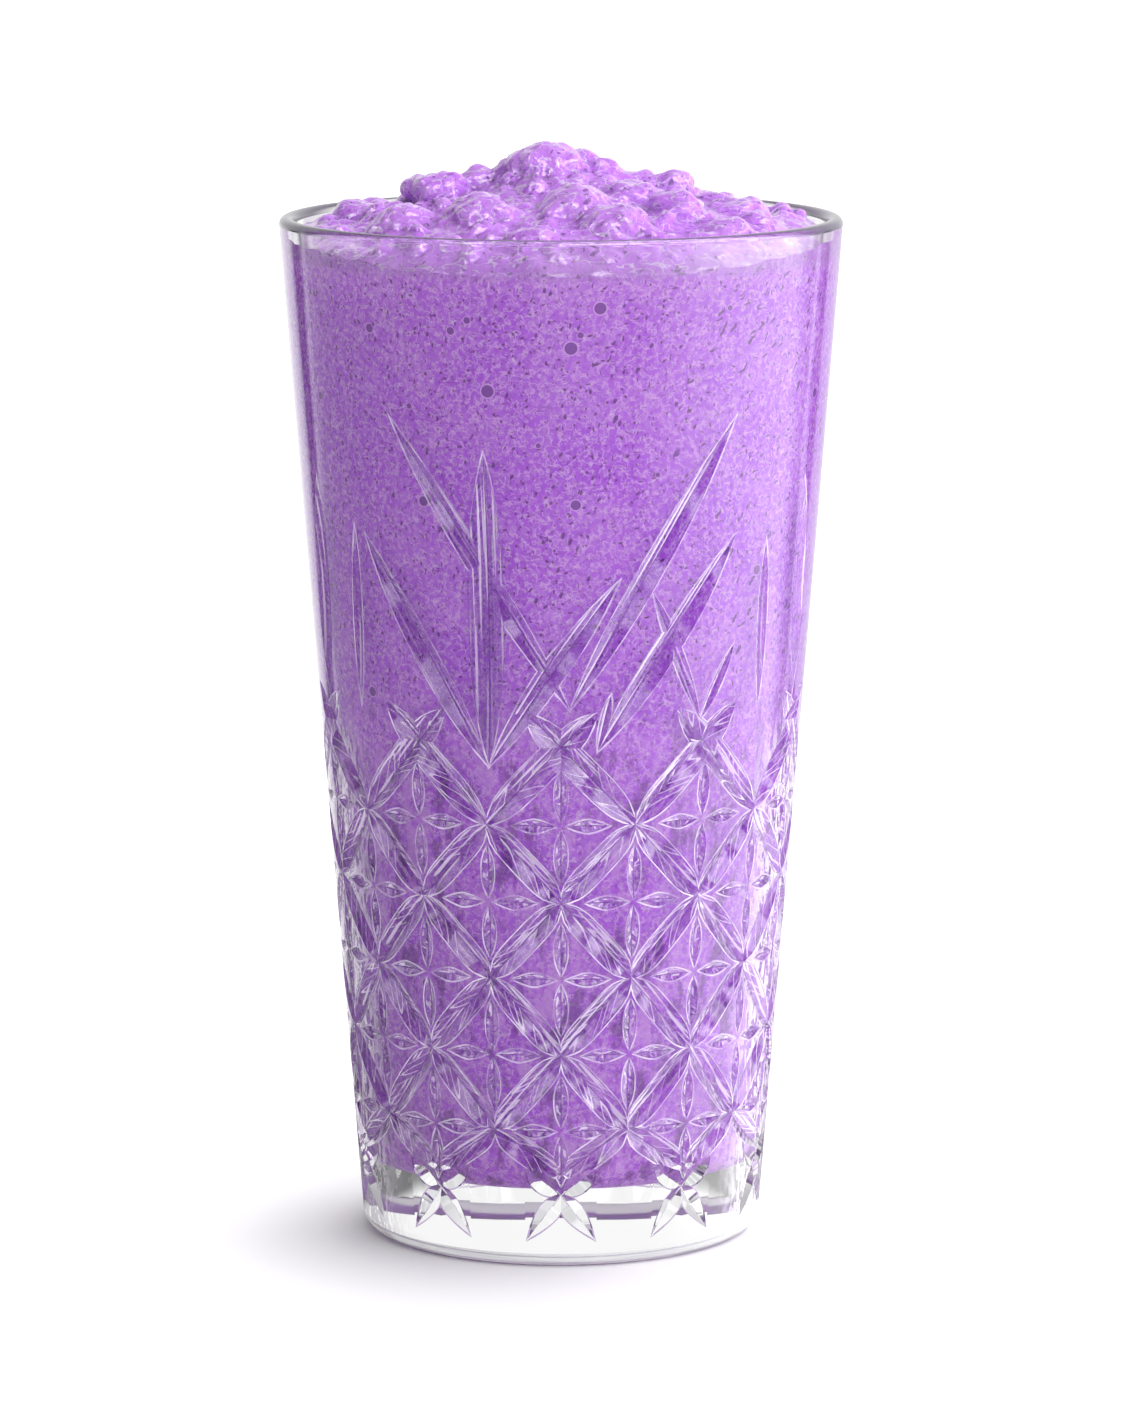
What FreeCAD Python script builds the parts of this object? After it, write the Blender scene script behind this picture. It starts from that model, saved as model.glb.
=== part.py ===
"""A thick milkshake heaped in a pressed, cut-glass long drink tumbler.

Frame: the origin is the middle of the foot, on the table; +Z is up; the fans of leaves face -Y.
Lengths are in millimetres and angles in degrees. An azimuth is counted from -Y towards +X.
"""
import FreeCAD, Part
import math
import os
import Sketcher

Vector = FreeCAD.Vector

SIZES = {
    # blank of the tumbler
    "rim_radius": 41.5,
    "foot_radius": 29.5,
    "glass_height": 151.5,
    "rim_wall": 2.5,
    "floor_wall": 4.9,
    "base_thickness": 11.0,
    "lip_fillet": 1.15,
    "heel_fillet": 2.5,
    "bowl_fillet": 5.0,
    # lattice of mitre cuts, with a four-armed star in each diamond
    "column_count": 10,
    "lattice_low": 20.8,
    "row_pitch": 11.45,
    "flank_angle": 27.0,
    "lattice_depth": 1.0,
    "crest_depth": 1.15,
    "crest_overrun": 5.2,
    "lattice_foot_overlap": 1.0,
    "arm_depth": 0.55,
    "arm_length": 6.6,
    "arm_rise": 1.16,
    "arm_start": 0.6,
    # stars cut in the heavy foot
    "foot_star_height": 11.0,
    "foot_star_depth": 0.85,
    "foot_star_drop": 6.8,
    "foot_star_rise": 4.0,
    "foot_star_spread": 9.6,
    # band of clear wall over the fans
    "plain_band": 26.0,
    # drink
    "fill_gap": 5.0,
    "heap_height": 15.8,
    "lump_height": 1.1,
    "lump_radius": 3.2,
}

HALF_TURN = 180.0
FULL_TURN = 360.0
TOLERANCE = 1e-4
# largest share of the rim's wall that each of its two fillets may take
LIP_SHARE = 0.46
LATTICE_LEVELS = 5
CUT_CLEARANCE = 0.4
SWEEP_MARGIN = 1.22
FAN_COPIES = 2
FAN_STATIONS = 9
FAN_BLUNTNESS = 2.4
# leaves of the fans: foot azimuth and height, tip azimuth and height, width;
# a height is a share of the band from the lattice's crest up to the plain wall
FAN_LEAVES = {
    "TallUpright": (-17.0, -0.06, -16.5, 0.91, 5.8),
    "MiddleLeft": (-17.0, -0.06, -48.0, 0.63, 4.0),
    "MiddleRight": (-17.0, -0.06, 13.0, 0.52, 3.6),
    "InnerRight": (-13.5, 0.03, 2.0, 0.36, 1.9),
    "LongLeft": (2.0, 0.12, -38.5, 1.0, 3.5),
    "LongRight": (2.0, 0.12, 39.5, 1.0, 3.8),
    "OuterRight": (8.5, -0.01, 41.5, 0.64, 4.2),
    "ShortUpright": (8.5, -0.01, 11.5, 0.17, 1.6),
    "PeakLeft": (34.0, 0.07, 20.5, 0.48, 2.2),
    "PeakRight": (34.0, 0.07, 43.0, 0.3, 1.9),
    "SlimLeft": (-53.5, 0.09, -51.5, 0.65, 2.4),
    "SlimRight": (52.5, 0.09, 51.5, 0.61, 2.4),
    "SideLeft": (-70.0, 0.08, -67.0, 0.78, 5.6),
    "SideRight": (70.0, 0.08, 67.0, 0.78, 5.6),
}
FOOT_ARM_START = 0.2
LEAF_OVERRUN = 0.03
# crests of the heap: place across and towards the back, height, spread
HEAP_CRESTS = [
    (0.0, 0.0, 1.2, 4.0), (-7.5, 0.0, 2.2, 3.6), (-16.0, 0.5, 2.7, 3.6), (-20.5, 0.0, 1.6, 3.0),
    (-26.0, 0.0, 0.8, 3.0), (-32.0, -1.0, 1.8, 3.6), (13.0, 0.0, 1.2, 3.4), (17.5, 0.0, 1.7, 3.4),
    (23.0, 0.0, 0.9, 3.0), (-11.2, -18.0, 2.0, 4.2), (2.4, -17.0, 2.0, 4.0),
    (10.0, -10.5, 1.6, 3.6), (16.5, -14.0, 1.6, 3.4), (7.6, -24.0, 1.8, 4.0),
    (-22.0, -15.0, 1.5, 4.0), (-4.0, -28.0, 1.3, 4.0), (23.0, -19.0, 1.4, 3.8),
    (9.0, 12.0, 1.8, 5.0), (-8.0, 13.0, 1.8, 5.5), (-20.0, 15.0, 1.4, 4.6),
    (20.0, 16.0, 1.4, 4.6), (0.0, 23.0, 1.4, 5.0),
]
# the mound under the crests: shares of its height in its peak and its shoulders, the peak's
# spread as a share of the bowl's radius, and how late and how steeply the shoulders fall
PEAK_SHARE, SHOULDER_SHARE = 0.30, 0.62
PEAK_SPREAD = 0.26
SHOULDER_START, SHOULDER_DROP = 2.2, 0.75
# waves of the line where the drink meets the wall: number round the glass, height, start
CONTACT_WAVES = [(3, 0.45, 0.6), (7, 0.30, 0.0)]
OUTER_SLOPE = 18.0
EDGE_FADE = 6.0
LUMP_MARGIN = 2.0
SURFACE_MARGIN = 3.0
LUMP_COUNT = 48
GOLDEN_TURN = math.pi * (3.0 - math.sqrt(5.0))
SURFACE_STEP = 1.9


def make_sheet(doc):
    """Keep the driving dimensions in a sheet, and hand back its values by name."""
    sheet = doc.addObject("Spreadsheet::Sheet", "Sizes")
    for row, (alias, value) in enumerate(SIZES.items(), start=1):
        sheet.set(f"A{row}", alias.replace("_", " "))
        sheet.set(f"B{row}", str(value))
        sheet.setAlias(f"B{row}", alias)
    doc.recompute()
    return {alias: float(sheet.get(alias)) for alias in SIZES}


def origin_feature(body, role):
    """Find one of the body's own origin planes or axes."""
    return next(item for item in body.Origin.OriginFeatures if item.Role == role)


def add_sketch(body, name, role, placement):
    """Attach a sketch to one of the body's origin planes."""
    sketch = body.newObject("Sketcher::SketchObject", name)
    sketch.AttachmentSupport = [(origin_feature(body, role), "")]
    sketch.MapMode = "FlatFace"
    sketch.AttachmentOffset = placement
    return sketch


def draw_outline(sketch, corners, bindings):
    """Draw a closed outline and bind each corner's two coordinates to the sheet."""
    points = [Vector(across, up, 0) for across, up in corners]
    for start, end in zip(points, points[1:] + points[:1]):
        sketch.addGeometry(Part.LineSegment(start, end), False)
    for index in range(len(points)):
        following = (index + 1) % len(points)
        sketch.addConstraint(Sketcher.Constraint("Coincident", index, 2, following, 1))
    for index, (point, bound) in enumerate(zip(points, bindings)):
        for kind, value, binding in zip(("DistanceX", "DistanceY"), (point.x, point.y), bound):
            number = sketch.addConstraint(Sketcher.Constraint(kind, -1, 1, index, 1, value))
            if binding:
                sketch.setExpression(f"Constraints[{number}]", binding)


# ---------------------------------------------------------------- tumbler blank

OUTSIDE_AT_FLOOR = (
    "(Sizes.foot_radius + (Sizes.rim_radius - Sizes.foot_radius)"
    " * Sizes.base_thickness / Sizes.glass_height)"
)
BOWL_RADIUS = f"({OUTSIDE_AT_FLOOR} - Sizes.floor_wall)"
INNER_RIM = "(Sizes.rim_radius - Sizes.rim_wall)"


def outer_radius(size, height):
    """Radius of the straight outer wall at a height."""
    widening = (size["rim_radius"] - size["foot_radius"]) / size["glass_height"]
    return size["foot_radius"] + widening * height


def bowl_radius(size):
    """Inner radius where the wall would meet the floor without its fillet."""
    return outer_radius(size, size["base_thickness"]) - size["floor_wall"]


def circle_edges(shape, radius, height):
    """Names of the circular edges of one radius at one height."""
    names = []
    for number, edge in enumerate(shape.Edges, start=1):
        curve = edge.Curve
        if isinstance(curve, Part.Circle) and abs(curve.Radius - radius) < TOLERANCE:
            if abs(curve.Center.z - height) < TOLERANCE:
                names.append(f"Edge{number}")
    return names


def round_edge(doc, body, name, below, radius, height, size_of_round):
    """Fillet the circular edge of the given radius and height."""
    fillet = body.newObject("PartDesign::Fillet", name)
    fillet.Base = (below, circle_edges(below.Shape, radius, height))
    fillet.Radius = 1.0
    fillet.setExpression("Radius", size_of_round)
    doc.recompute()
    return fillet


def blank_sector(doc, body, size):
    """Turn one column's share of the plain tumbler, with its lip, heel and bowl rounded."""
    top, floor = size["glass_height"], size["base_thickness"]
    rim, inner_rim = size["rim_radius"], size["rim_radius"] - size["rim_wall"]
    corners = [(0, 0), (size["foot_radius"], 0), (rim, top), (inner_rim, top),
               (bowl_radius(size), floor), (0, floor)]
    bindings = [("", ""), ("Sizes.foot_radius", ""), ("Sizes.rim_radius", "Sizes.glass_height"),
                (INNER_RIM, "Sizes.glass_height"), (BOWL_RADIUS, "Sizes.base_thickness"),
                ("", "Sizes.base_thickness")]
    facing_front = FreeCAD.Placement(Vector(), FreeCAD.Rotation(Vector(0, 1, 0), 180))
    sketch = add_sketch(body, "WallProfile", "YZ_Plane", facing_front)
    draw_outline(sketch, corners, bindings)
    blank = body.newObject("PartDesign::Revolution", "Blank")
    blank.Profile = sketch
    blank.ReferenceAxis = (sketch, ["V_Axis"])
    blank.Midplane = True
    blank.setExpression("Angle", "360 / Sizes.column_count")
    doc.recompute()
    lip = f"min(Sizes.lip_fillet; {LIP_SHARE} * Sizes.rim_wall)"
    outer_lip = round_edge(doc, body, "OuterLip", blank, rim, top, lip)
    inner_lip = round_edge(doc, body, "InnerLip", outer_lip, inner_rim, top, lip)
    heel = round_edge(doc, body, "Heel", inner_lip, size["foot_radius"], 0.0, "Sizes.heel_fillet")
    return round_edge(doc, body, "Bowl", heel, bowl_radius(size), floor, "Sizes.bowl_fillet")


# ---------------------------------------------------------------- cuts

def wall_frame(size, azimuth, height):
    """Point on the outer wall, with the directions out of it, up it and round it."""
    turn = math.radians(azimuth)
    taper = math.atan2(size["rim_radius"] - size["foot_radius"], size["glass_height"])
    outward = Vector(math.sin(turn), -math.cos(turn), 0)
    around = Vector(math.cos(turn), math.sin(turn), 0)
    upward = Vector(0, 0, 1)
    point = outward * outer_radius(size, height) + upward * height
    normal = outward * math.cos(taper) - upward * math.sin(taper)
    slope = outward * math.sin(taper) + upward * math.cos(taper)
    return point, normal, slope, around


def wheel_cut(body, size, name, start, end, depth_alias):
    """Cut a pointed V between two places on the wall, as a bevelled wheel does.

    The wheel's radius follows from the length and depth of the cut and from how much the
    wall itself curves along it, so the cut runs out to a point exactly at its two ends.
    """
    depth = size[depth_alias]
    azimuth, height = (start[0] + end[0]) / 2, (start[1] + end[1]) / 2
    point, normal, slope, around = wall_frame(size, azimuth, height)
    radius = outer_radius(size, height)
    run_around = math.radians(end[0] - start[0]) * radius
    run_up = (end[1] - start[1]) / slope.z
    length = math.hypot(run_around, run_up)
    keel = (slope * run_up + around * run_around) / length
    wall_curvature = (run_around / length) ** 2 / radius
    wheel_radius = 1.0 / (8.0 * depth / length ** 2 - wall_curvature)
    axis = keel.cross(normal)
    placement = FreeCAD.Placement(point + normal * (wheel_radius - depth),
                                  FreeCAD.Rotation(axis, normal, axis.cross(normal), "XYZ"))
    sketch = add_sketch(body, f"{name}Profile", "XY_Plane", placement)
    tall = depth + CUT_CLEARANCE
    half = tall / math.tan(math.radians(size["flank_angle"]))
    corners = [(0, -wheel_radius), (half, tall - wheel_radius), (-half, tall - wheel_radius)]
    spread = f"(Sizes.{depth_alias} + {CUT_CLEARANCE}) / tan(Sizes.flank_angle * 1 deg)"
    rim_height = f"Sizes.{depth_alias} + {CUT_CLEARANCE} - {wheel_radius}"
    draw_outline(sketch, corners, [("", ""), (spread, rim_height), (f"-({spread})", rim_height)])
    groove = body.newObject("PartDesign::Groove", name)
    groove.Profile = sketch
    groove.ReferenceAxis = (sketch, ["H_Axis"])
    groove.Midplane = True
    groove.Angle = 2 * math.degrees(math.asin(SWEEP_MARGIN * length / 2 / wheel_radius))
    return groove


def lattice_rows(size):
    """Heights of the lattice's rows of crossings, from its crest down."""
    return [size["lattice_low"] + size["row_pitch"] * step for step in range(LATTICE_LEVELS, -1, -1)]


def lattice_cuts(body, size):
    """Right-hand half of one column of the lattice: the slanting cuts between crossings."""
    half_column = HALF_TURN / size["column_count"]
    rows = lattice_rows(size)
    cuts = []
    for level in range(1, LATTICE_LEVELS):
        upper, lower = (half_column, 0.0) if level % 2 else (0.0, half_column)
        cuts.append(wheel_cut(body, size, f"Lattice{level}", (upper, rows[level]),
                              (lower, rows[level + 1]), "lattice_depth"))
    climb = rows[0] - rows[1]
    past = half_column * size["crest_overrun"] / climb
    cuts.append(wheel_cut(body, size, "Crest", (half_column, rows[1]),
                          (-past, rows[0] + size["crest_overrun"]), "crest_depth"))
    foot_point = size["foot_star_height"] + size["foot_star_rise"]
    cuts.append(wheel_cut(body, size, "LatticeFoot", (half_column, rows[-1]),
                          (0.0, foot_point - size["lattice_foot_overlap"]), "lattice_depth"))
    return cuts


def star_arms(body, size):
    """Arms of the stars in the diamonds: those off the column's middle, and those on it."""
    half_column = HALF_TURN / size["column_count"]
    beside, middle = [], []
    for level, height in enumerate(lattice_rows(size)[1:], start=1):
        centre, sign = (0.0, 1.0) if level % 2 else (half_column, -1.0)
        degrees = math.degrees(1.0 / outer_radius(size, height)) * sign
        near, far = size["arm_start"], size["arm_start"] + size["arm_length"]
        rise = far * size["arm_rise"]
        beside.append(wheel_cut(body, size, f"ArmAcross{level}", (centre + near * degrees, height),
                                (centre + far * degrees, height), "arm_depth"))
        upright = middle if centre == 0.0 else beside
        upright.append(wheel_cut(body, size, f"ArmUp{level}", (centre, height + near),
                                 (centre, height + rise), "arm_depth"))
        upright.append(wheel_cut(body, size, f"ArmDown{level}", (centre, height - near),
                                 (centre, height - rise), "arm_depth"))
    return beside, middle


def foot_stars(body, size):
    """Right-hand arms of the star in the heavy foot: one down, one up."""
    centre, spread = size["foot_star_height"], size["foot_star_spread"]
    down = wheel_cut(body, size, "FootArmDown", (FOOT_ARM_START, centre),
                     (spread, centre - size["foot_star_drop"]), "foot_star_depth")
    up = wheel_cut(body, size, "FootArmUp", (FOOT_ARM_START, centre),
                   (spread, centre + size["foot_star_rise"]), "foot_star_depth")
    return [down, up]


def leaf_station(size, leaf, share):
    """V-shaped section across a leaf, at a share of its way from foot to tip."""
    foot_azimuth, foot_share, tip_azimuth, tip_share, width = leaf
    crest = lattice_rows(size)[0]
    band = size["glass_height"] - size["plain_band"] - crest
    azimuth = foot_azimuth + (tip_azimuth - foot_azimuth) * share
    height = crest + band * (foot_share + (tip_share - foot_share) * share)
    point, normal, slope, around = wall_frame(size, azimuth, height)
    run_around = math.radians(tip_azimuth - foot_azimuth) * outer_radius(size, height)
    run_up = band * (tip_share - foot_share) / slope.z
    side = (around * run_up - slope * run_around).normalize()
    flank = math.tan(math.radians(size["flank_angle"]))
    fullness = 1.0 - abs(2.0 * share - 1.0) ** FAN_BLUNTNESS
    depth = 0.5 * width * flank * fullness
    tall = 0.5 * width * flank + CUT_CLEARANCE
    bottom = point - normal * depth
    top = bottom + normal * tall
    reach = side * (tall / flank)
    return Part.makePolygon([bottom, top + reach, top - reach, bottom])


def fan_leaves(doc, size):
    """Solids of the curved leaves, which follow the wall round as no flat wheel could."""
    solids = []
    for leaf in FAN_LEAVES.values():
        whole = 1.0 + 2 * LEAF_OVERRUN
        shares = [whole * step / (FAN_STATIONS - 1) - LEAF_OVERRUN
                  for step in range(FAN_STATIONS)]
        sections = [leaf_station(size, leaf, share) for share in shares]
        solids.append(Part.makeLoft(sections, True, False))
    feature = doc.addObject("Part::Feature", "FanLeaves")
    turned = [solid.rotated(Vector(), Vector(0, 0, 1), copy * FULL_TURN / FAN_COPIES)
              for copy in range(FAN_COPIES) for solid in solids]
    feature.Shape = Part.makeCompound(turned)
    return feature


def make_tumbler(doc, size):
    """Cut one column of the lattice, repeat it round the glass, then cut the fans."""
    body = doc.addObject("PartDesign::Body", "TumblerBody")
    blank_sector(doc, body, size)
    beside = lattice_cuts(body, size)
    arms_beside, arms_middle = star_arms(body, size)
    beside += arms_beside + foot_stars(body, size)
    mirrored = body.newObject("PartDesign::Mirrored", "OtherHalf")
    mirrored.Originals = beside
    mirrored.MirrorPlane = (origin_feature(body, "YZ_Plane"), [""])
    body.Tip = mirrored
    doc.recompute()
    ring = body.newObject("PartDesign::PolarPattern", "AllColumns")
    ring.TransformMode = "Whole shape"
    ring.Axis = (origin_feature(body, "Z_Axis"), [""])
    ring.Angle = FULL_TURN
    ring.setExpression("Occurrences", "Sizes.column_count")
    body.Tip = ring
    doc.recompute()
    tumbler = doc.addObject("Part::Cut", "Tumbler")
    tumbler.Label = "tumbler"
    tumbler.Base = body
    tumbler.Tool = fan_leaves(doc, size)
    doc.recompute()
    return tumbler


# ---------------------------------------------------------------- drink

def bump(across, back, crest):
    """Height that one rounded lump adds at a place."""
    centre_across, centre_back, tall, spread = crest
    distance = (across - centre_across) ** 2 + (back - centre_back) ** 2
    return tall * math.exp(-distance / spread ** 2)


def small_lumps(size):
    """Lumps spread evenly over the heap, of uneven height."""
    reach = size["rim_radius"] - size["rim_wall"] - LUMP_MARGIN
    lumps = []
    for index in range(LUMP_COUNT):
        away = reach * math.sqrt((index + 0.5) / LUMP_COUNT)
        turn = index * GOLDEN_TURN
        tall = size["lump_height"] * (0.55 + 0.45 * math.sin(2.7 * index))
        spread = size["lump_radius"] * (1.0 + 0.25 * math.cos(1.9 * index))
        lumps.append((away * math.cos(turn), away * math.sin(turn), tall, spread))
    return lumps


def heap_surface(size):
    """Smooth, lumpy top of the drink, wider than the glass so that it cuts right through."""
    wall = size["rim_radius"] - size["rim_wall"]
    level = size["glass_height"] - size["fill_gap"]
    lumps = small_lumps(size)

    def height_at(across, back):
        share = math.hypot(across, back) / wall
        turn = math.atan2(back, across)
        wave = sum(height * math.sin(number * turn + start)
                   for number, height, start in CONTACT_WAVES)
        if share >= 1.0:
            return level + wave - OUTER_SLOPE * (share - 1.0)
        mound = (PEAK_SHARE * math.exp(-(share / PEAK_SPREAD) ** 2)
                 + SHOULDER_SHARE * (1.0 - share ** SHOULDER_START) ** SHOULDER_DROP)
        rough = sum(bump(across, back, lump) for lump in lumps + HEAP_CRESTS)
        fade = min(1.0, EDGE_FADE * (1.0 - share))
        return level + wave * share + size["heap_height"] * mound + rough * fade

    count = math.ceil(2 * (wall + SURFACE_MARGIN) / SURFACE_STEP) + 1
    places = [(index - (count - 1) / 2) * SURFACE_STEP for index in range(count)]
    grid = [[Vector(across, back, height_at(across, back)) for back in places]
            for across in places]
    surface = Part.BSplineSurface()
    surface.interpolate(grid)
    return surface.toShape()


def make_milkshake(doc, size):
    """Fill the bowl up to the heap: a turned body that fits the glass, cut by the heap."""
    body = doc.addObject("PartDesign::Body", "DrinkBody")
    top, floor = size["glass_height"], size["base_thickness"]
    inner_rim = size["rim_radius"] - size["rim_wall"]
    crown = top + 2 * size["heap_height"]
    corners = [(0, floor), (bowl_radius(size), floor), (inner_rim, top), (inner_rim, crown),
               (0, crown)]
    crown_height = "Sizes.glass_height + 2 * Sizes.heap_height"
    bindings = [("", "Sizes.base_thickness"), (BOWL_RADIUS, "Sizes.base_thickness"),
                (INNER_RIM, "Sizes.glass_height"), (INNER_RIM, crown_height),
                ("", crown_height)]
    sketch = add_sketch(body, "DrinkProfile", "XZ_Plane", FreeCAD.Placement())
    draw_outline(sketch, corners, bindings)
    fill = body.newObject("PartDesign::Revolution", "Fill")
    fill.Profile = sketch
    fill.ReferenceAxis = (sketch, ["V_Axis"])
    fill.Angle = FULL_TURN
    doc.recompute()
    round_edge(doc, body, "DrinkBottom", fill, bowl_radius(size), floor, "Sizes.bowl_fillet")
    above = doc.addObject("Part::Feature", "HeapSurface")
    above.Shape = heap_surface(size)
    space = doc.addObject("Part::Extrusion", "SpaceOverHeap")
    space.Base = above
    space.DirMode = "Custom"
    space.Dir = Vector(0, 0, 1)
    space.Solid = True
    space.setExpression("LengthFwd", "4 * Sizes.heap_height")
    milkshake = doc.addObject("Part::Cut", "Milkshake")
    milkshake.Label = "milkshake"
    milkshake.Base = body
    milkshake.Tool = space
    doc.recompute()
    return milkshake


def check(doc, parts):
    """Stop if any object failed, or a part isn't one valid solid."""
    failed = [item.Name for item in doc.Objects
              if "Invalid" in item.State or "Error" in item.State]
    if failed:
        raise RuntimeError(f"failed objects: {failed}")
    for part in parts:
        shape = part.Shape
        if shape.isNull() or not shape.isValid() or len(shape.Solids) != 1:
            raise RuntimeError(f"{part.Label} isn't one valid solid")


def main():
    """Build both parts and write a file for each."""
    doc = FreeCAD.newDocument("MilkshakeInTumbler")
    size = make_sheet(doc)
    parts = [make_tumbler(doc, size), make_milkshake(doc, size)]
    doc.recompute()
    check(doc, parts)
    os.makedirs("parts", exist_ok=True)
    for part in parts:
        part.Shape.exportStep(f"parts/{part.Label}.step")
        print(part.Label, "volume", round(part.Shape.Volume), "faces", len(part.Shape.Faces))


main()
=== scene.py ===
"""Finish of a thick purple milkshake heaped in a clear cut-glass tumbler.

Lengths are in metres and angles in degrees unless a property says otherwise. An azimuth is
counted round the glass from -Y, which the fans of leaves face, towards +X.
"""
import math

import bpy
from bpy.props import FloatProperty, FloatVectorProperty, IntProperty, PointerProperty
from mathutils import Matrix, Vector, noise


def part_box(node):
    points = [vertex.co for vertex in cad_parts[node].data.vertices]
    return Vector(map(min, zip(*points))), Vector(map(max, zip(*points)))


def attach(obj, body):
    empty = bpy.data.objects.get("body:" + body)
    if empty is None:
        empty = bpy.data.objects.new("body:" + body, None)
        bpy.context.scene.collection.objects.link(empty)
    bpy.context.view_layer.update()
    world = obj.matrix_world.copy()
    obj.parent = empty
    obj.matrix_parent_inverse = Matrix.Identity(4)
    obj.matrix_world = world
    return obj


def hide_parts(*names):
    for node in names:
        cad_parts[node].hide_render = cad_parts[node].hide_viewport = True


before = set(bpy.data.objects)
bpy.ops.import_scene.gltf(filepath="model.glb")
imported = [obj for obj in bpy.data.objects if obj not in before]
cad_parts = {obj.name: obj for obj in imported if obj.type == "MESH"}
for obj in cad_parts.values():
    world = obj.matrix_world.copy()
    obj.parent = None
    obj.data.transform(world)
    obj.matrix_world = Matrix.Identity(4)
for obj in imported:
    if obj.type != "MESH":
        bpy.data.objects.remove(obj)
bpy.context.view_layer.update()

bl_info = {
    "name": "Milkshake in a cut-glass tumbler",
    "version": (1, 0, 0),
    "blender": (4, 5, 0),
    "location": "View3D > Sidebar > Milkshake",
    "description": "Models and finishes a milkshake with its cut-glass tumbler",
    "category": "Object",
}

GLASS_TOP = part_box("tumbler")[1][2]
DRINK_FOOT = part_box("milkshake")[0][2]
MM = 0.001
FULL_TURN = 360.0


def length(name, default, description):
    """A length that a user may change."""
    return FloatProperty(name=name, description=description, default=default, unit="LENGTH",
                         min=0.0, precision=5)


def colour(name, default, description):
    """A colour that a user may change."""
    return FloatVectorProperty(name=name, description=description, default=default,
                               subtype="COLOR", size=3, min=0.0, max=1.0)


class TumblerSizes(bpy.types.PropertyGroup):
    """Sizes of the tumbler and its cuts."""
    rim_radius: length("Rim radius", 41.5 * MM, "Radius of the outer wall at the rim")
    foot_radius: length("Foot radius", 29.5 * MM, "Radius of the outer wall at the table")
    height: length("Height", GLASS_TOP, "Height of the glass")
    rim_wall: length("Rim wall", 2.5 * MM, "Thickness of the wall at the rim")
    floor_wall: length("Floor wall", 4.9 * MM, "Thickness of the wall beside the floor")
    floor: length("Floor", DRINK_FOOT, "Thickness of the heavy base")
    lip_round: length("Lip round", 1.15 * MM, "Rounding of the two edges of the lip")
    heel_round: length("Heel round", 2.5 * MM, "Rounding of the outer edge of the foot")
    bowl_round: length("Bowl round", 5.0 * MM, "Rounding between the wall and the floor")
    facets: IntProperty(name="Facets", description="Sides of the turned glass", default=360,
                        min=48, max=720)
    columns: IntProperty(name="Columns", description="Columns of diamonds round the glass",
                         default=10, min=4, max=20)
    lattice_low: length("Lattice foot", 20.8 * MM, "Height of the lowest row of crossings")
    row_pitch: length("Row pitch", 11.45 * MM, "Rise from one row of crossings to the next")
    lattice_depth: length("Lattice depth", 1.0 * MM, "Depth of a slanting cut at its middle")
    crest_depth: length("Crest depth", 1.15 * MM, "Depth of the cuts of the top row")
    crest_overrun: length("Crest overrun", 5.2 * MM, "Rise of the top cuts past their crossing")
    arm_depth: length("Arm depth", 0.55 * MM, "Depth of the arms of the small stars")
    arm_length: length("Arm length", 6.6 * MM, "Length of a level arm of the small stars")
    arm_start: length("Arm start", 0.6 * MM, "Distance of an arm from its star's middle")
    arm_rise: FloatProperty(name="Arm rise", default=1.16, min=0.2, max=3.0,
                            description="Length of an upright arm over that of a level one")
    star_height: length("Foot star height", 11.0 * MM, "Height of the stars in the foot")
    star_depth: length("Foot star depth", 0.85 * MM, "Depth of the stars in the foot")
    star_drop: length("Foot star drop", 6.8 * MM, "Drop of a foot star's lower arms")
    star_rise: length("Foot star rise", 4.0 * MM, "Rise of a foot star's upper arms")
    star_spread: FloatProperty(name="Foot star spread", default=9.6, min=1.0, max=20.0,
                               description="Degrees that a foot star's arms reach sideways")
    plain_band: length("Plain band", 26.0 * MM, "Clear wall over the tips of the fans")
    flank: FloatProperty(name="Flank slope", default=27.0, min=5.0, max=60.0,
                         description="Slope of a cut's flanks from the wall, in degrees")
    polish: length("Polished edge", 0.15 * MM, "Width of the polished edge along each cut")
    shade_width: length("Edge shade", 0.09 * MM, "Width of the dark line inside each edge")
    keel_width: length("Keel width", 0.08 * MM, "Half width of the narrow keel of each cut")


class DrinkSizes(bpy.types.PropertyGroup):
    """Sizes of the drink and its heap."""
    fill_gap: length("Fill gap", 5.0 * MM, "Drop from the rim to where the drink meets the wall")
    heap_height: length("Heap height", 15.8 * MM, "Rise of the heap over that level")
    wetting: length("Wetting", 0.1 * MM, "Reach of the drink into the wall, so no gap shows")
    grain: length("Grain", 0.55 * MM, "Finest size kept when the heap's lumps are merged")
    nodules: IntProperty(name="Nodules", description="Rounded lumps strewn over the heap",
                         default=210, min=0, max=800)
    bubble_radius: length("Bubble radius", 0.9 * MM, "Radius of the largest bubbles at the wall")


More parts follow.
